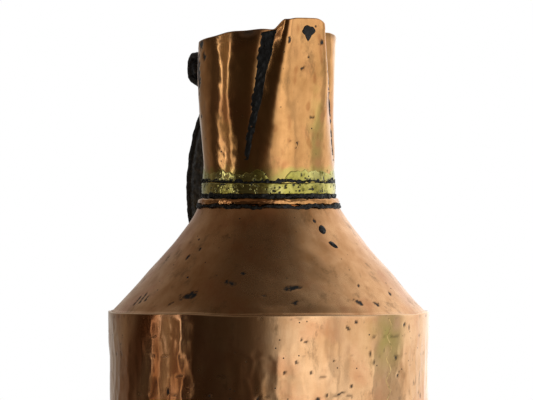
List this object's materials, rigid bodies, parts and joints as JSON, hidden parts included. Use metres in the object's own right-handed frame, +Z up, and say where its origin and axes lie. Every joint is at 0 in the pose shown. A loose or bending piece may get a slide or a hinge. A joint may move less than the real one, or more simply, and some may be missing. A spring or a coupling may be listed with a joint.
{
  "type": "water jug",
  "caption": "Hammered copper water jug with a cylindrical body, conical shoulder, narrow neck folded into a pouring spout, brass neck band and dark strap handle.",
  "frame": {"origin": "on the jug's axis, in the plane it stands on", "axes": "+Z up along the axis; the spout points along -Y and the handle along +Y"},
  "size_m": [0.2106, 0.2106, 0.3666],
  "materials": {
    "hammered_copper": "aged, hammered, half polished",
    "neck_copper": "aged, uneven",
    "shoulder_copper": "dull brown patina",
    "brass": "pitted",
    "solder": "dark, lumpy",
    "handle_metal": "forged, near black",
    "wire": "dull",
    "rivets": "peened, dark"
  },
  "bodies": {
    "root": {"body_wall": "hammered_copper", "body_seam_braze": "brass", "base_disc": "hammered_copper", "base_braze": "brass", "shoulder_cone": "shoulder_copper", "shoulder_braze": "brass", "neck_and_spout": "neck_copper", "neck_seam_braze": "brass", "crease_solder_left": "solder", "crease_solder_right": "solder", "spout_solder_patch": "solder", "shoulder_patch_upper": "solder", "shoulder_patch_lower": "solder", "handle_strap": "handle_metal", "handle_wire_left": "wire", "handle_wire_right": "wire", "braze_overflow": "brass", "upper_solder_line": "solder", "brass_band": "brass", "lower_solder_line": "solder", "neck_ring": "neck_copper", "ring_solder_line": "solder", "neck_rivet_1": "rivets", "neck_rove_1": "rivets", "neck_rivet_2": "rivets", "neck_rove_2": "rivets", "foot_rivet_1": "rivets", "foot_rove_1": "rivets", "foot_rivet_2": "rivets", "foot_rove_2": "rivets", "foot_rivet_3": "rivets", "foot_rove_3": "rivets"}
  },
  "joints": []
}
